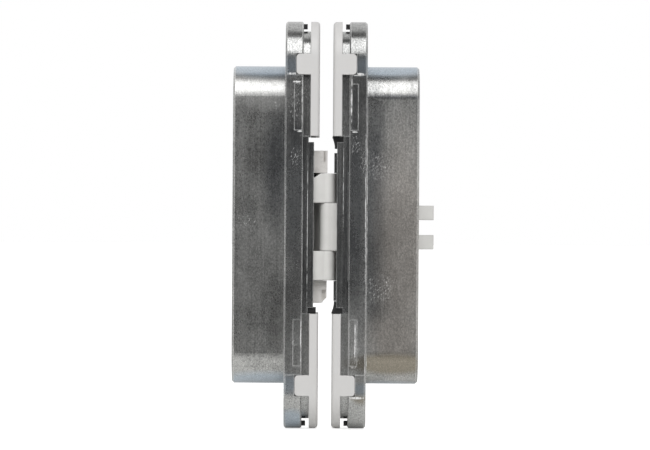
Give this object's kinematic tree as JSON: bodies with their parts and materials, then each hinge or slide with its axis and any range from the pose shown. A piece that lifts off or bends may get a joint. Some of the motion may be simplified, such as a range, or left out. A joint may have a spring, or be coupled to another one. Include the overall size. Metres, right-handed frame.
{
  "type": "concealed hinge",
  "caption": "Concealed hinge for a flush door: two cast housings under painted covers, joined by curved arms that fold into them when closed and let the door swing right round.",
  "frame": {"origin": "middle of the four fixing screws of the frame side, on the plane where its plate seats", "axes": "+X from the frame side to the door side, +Z along the pins, -Y towards the side that the door closes on"},
  "size_m": [0.0792, 0.028, 0.16],
  "materials": {
    "plated_casting": "bright zinc plating on a zinc casting, mottled grey",
    "raw_casting": "blasted zinc casting, beige silver",
    "cover_paint": "pale warm grey paint, satin",
    "arm_paint": "pale grey paint, satin",
    "pin_steel": "ground steel",
    "screw_steel": "zinc-plated steel",
    "black_plastic": "black plastic, matt"
  },
  "bodies": {
    "frame_side": {"frame_housing": "plated_casting", "frame_carrier": "raw_casting", "frame_cover_top": "cover_paint", "frame_clamp_screw_top": "screw_steel", "frame_eccentric_top": "screw_steel", "frame_cover_bottom": "cover_paint", "frame_clamp_screw_bottom": "screw_steel", "frame_eccentric_bottom": "screw_steel", "frame_cover_latch_top": "black_plastic", "frame_cover_latch_bottom": "black_plastic", "frame_end_pad": "black_plastic", "frame_pivot_pin": "pin_steel"},
    "middle_arm": {"middle_arm": "arm_paint", "centre_pin": "pin_steel", "middle_slider_pin": "pin_steel"},
    "outer_arms": {"outer_arm_upper": "arm_paint", "outer_arm_lower": "arm_paint", "outer_slider_pin": "pin_steel"},
    "door_side": {"door_housing": "plated_casting", "door_carrier": "plated_casting", "door_cover_top": "cover_paint", "door_clamp_screw_top": "screw_steel", "door_eccentric_top": "screw_steel", "door_cover_bottom": "cover_paint", "door_clamp_screw_bottom": "screw_steel", "door_eccentric_bottom": "screw_steel", "door_cover_latch_top": "black_plastic", "door_cover_latch_bottom": "black_plastic", "door_end_ramp_top": "black_plastic", "door_end_ramp_bottom": "black_plastic", "door_guide_rib": "raw_casting", "door_pivot_pin_upper": "pin_steel", "door_pivot_pin_lower": "pin_steel"}
  },
  "joints": [
    {"name": "frame_pivot", "type": "hinge", "parent": "frame_side", "child": "middle_arm", "pos_m": [0.01305, 0.007, 0], "axis": [0, 0, 1], "range_deg": [0, 132.61]},
    {"name": "arm_crossing", "type": "hinge", "parent": "middle_arm", "child": "outer_arms", "pos_m": [0.01675, -0.0033, 0], "axis": [0, 0, 1], "range_deg": [-61.18, 0]},
    {"name": "door_pivot", "type": "hinge", "parent": "outer_arms", "child": "door_side", "pos_m": [0.02205, 0.007, 0], "axis": [0, 0, 1], "range_deg": [0, 108.57]}
  ],
  "couplings": [
    {"joint": "arm_crossing", "follows": "frame_pivot", "ratio": -0.46133},
    {"joint": "door_pivot", "follows": "frame_pivot", "ratio": 0.81872}
  ]
}
